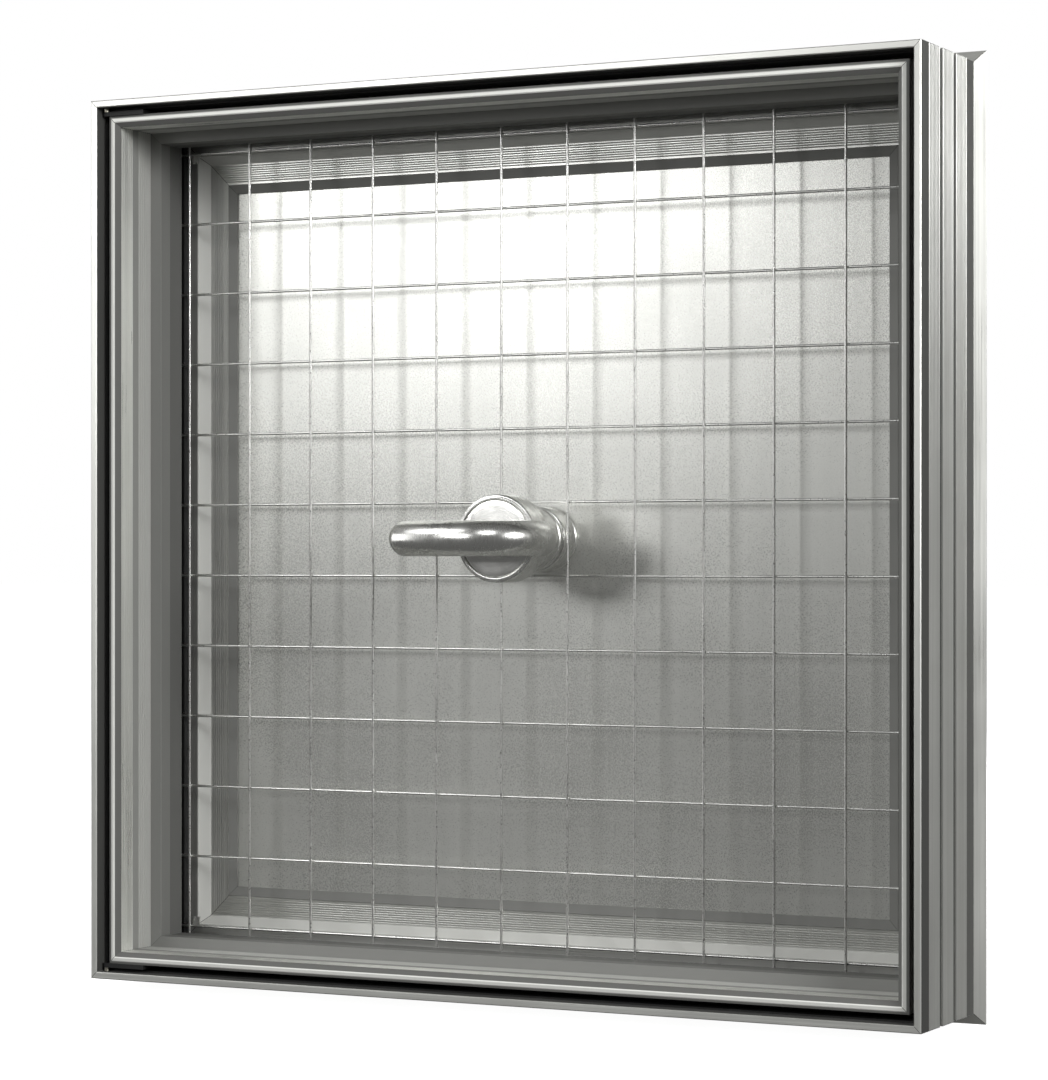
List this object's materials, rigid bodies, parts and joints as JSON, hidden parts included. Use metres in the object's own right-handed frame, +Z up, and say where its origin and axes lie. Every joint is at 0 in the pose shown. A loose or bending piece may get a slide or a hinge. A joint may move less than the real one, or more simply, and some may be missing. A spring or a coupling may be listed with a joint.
{
  "type": "window sash with crank",
  "caption": "Square metal window sash in its ribbed frame, with a wire mesh guard, a closed panel and a central crank that drives two locking bolts.",
  "frame": {"origin": "centre of the four fixing holes, in the plane of the frame's back face, on the crank's axis", "axes": "+Z up, +X to the right seen from the crank side, +Y into the wall, along the crank's axis"},
  "size_m": [0.5108, 0.1166, 0.5108],
  "materials": {
    "frame_profile": "satin extruded, fluted",
    "rear_profile": "satin extruded",
    "sash_profile": "satin extruded, fluted reveal",
    "bead_profile": "satin extruded, fluted",
    "edge_channel": "mill finish",
    "panel_sheet": "fine grained matt sheet",
    "mesh_wire": "bright drawn wire",
    "handle_steel": "satin polished",
    "cap_steel": "fine turned",
    "zinc_steel": "zinc plated",
    "black_steel": "black coated",
    "black_rubber": "matt",
    "bush_plastic": "moulded",
    "foam_core": "rigid foam",
    "cast_case": "die cast",
    "cast_cleat": "die cast"
  },
  "bodies": {
    "frame": {"frame_top": "frame_profile", "frame_right": "frame_profile", "frame_bottom": "frame_profile", "frame_left": "frame_profile", "rear_frame_top": "rear_profile", "rear_frame_right": "rear_profile", "rear_frame_bottom": "rear_profile", "rear_frame_left": "rear_profile", "frame_corner_cleats": "cast_cleat", "gap_liner": "black_rubber", "stop_seal": "black_rubber", "keeper_top": "zinc_steel", "keeper_bottom": "zinc_steel", "keeper_screws": "zinc_steel", "hinge_pins": "zinc_steel"},
    "sash": {"sash_top": "sash_profile", "sash_right": "sash_profile", "sash_bottom": "sash_profile", "sash_left": "sash_profile", "border_bead_top": "bead_profile", "border_bead_right": "bead_profile", "border_bead_bottom": "bead_profile", "border_bead_left": "bead_profile", "panel_edge_top": "edge_channel", "panel_edge_right": "edge_channel", "panel_edge_bottom": "edge_channel", "panel_edge_left": "edge_channel", "sash_corner_cleats": "cast_cleat", "mesh_gasket": "black_rubber", "mesh_upright_wires": "mesh_wire", "mesh_level_wires": "mesh_wire", "mesh_corner_clips": "mesh_wire", "panel_front_skin": "panel_sheet", "panel_core": "foam_core", "panel_rear_skin": "panel_sheet", "hinge_leaf_top": "black_steel", "hinge_leaf_bottom": "black_steel", "hinge_screws": "black_steel", "rosette": "handle_steel", "rosette_screws": "zinc_steel", "spindle_bush": "bush_plastic", "gear_case": "cast_case", "gear_case_cover": "cast_case", "cover_screws": "zinc_steel", "rod_guide_top": "bush_plastic", "rod_guide_bottom": "bush_plastic"},
    "crank": {"crank_hub": "handle_steel", "hub_cap": "cap_steel", "crank_bar": "handle_steel", "grub_screw": "zinc_steel", "spindle": "zinc_steel", "spindle_clip": "zinc_steel", "pinion": "zinc_steel"},
    "upper_bolt": {"rack_up": "zinc_steel", "bolt_rod_up": "zinc_steel"},
    "lower_bolt": {"rack_down": "zinc_steel", "bolt_rod_down": "zinc_steel"}
  },
  "joints": [
    {"name": "sash_swing", "type": "hinge", "parent": "frame", "child": "sash", "pos_m": [-0.2438, -0.097, 0], "axis": [0, 0, -1], "range_deg": [0, 90]},
    {"name": "crank_turn", "type": "hinge", "parent": "sash", "child": "crank", "pos_m": [0, -0.05, 0], "axis": [0, -1, 0], "range_deg": [0, 90]},
    {"name": "upper_bolt_slide", "type": "slide", "parent": "sash", "child": "upper_bolt", "axis": [0, 0, 1], "range_m": [0, 0.0126]},
    {"name": "lower_bolt_slide", "type": "slide", "parent": "sash", "child": "lower_bolt", "axis": [0, 0, -1], "range_m": [0, 0.0126]}
  ],
  "couplings": [
    {"joint": "upper_bolt_slide", "follows": "crank_turn", "m_per_rad": 0.008},
    {"joint": "lower_bolt_slide", "follows": "crank_turn", "m_per_rad": 0.008}
  ]
}
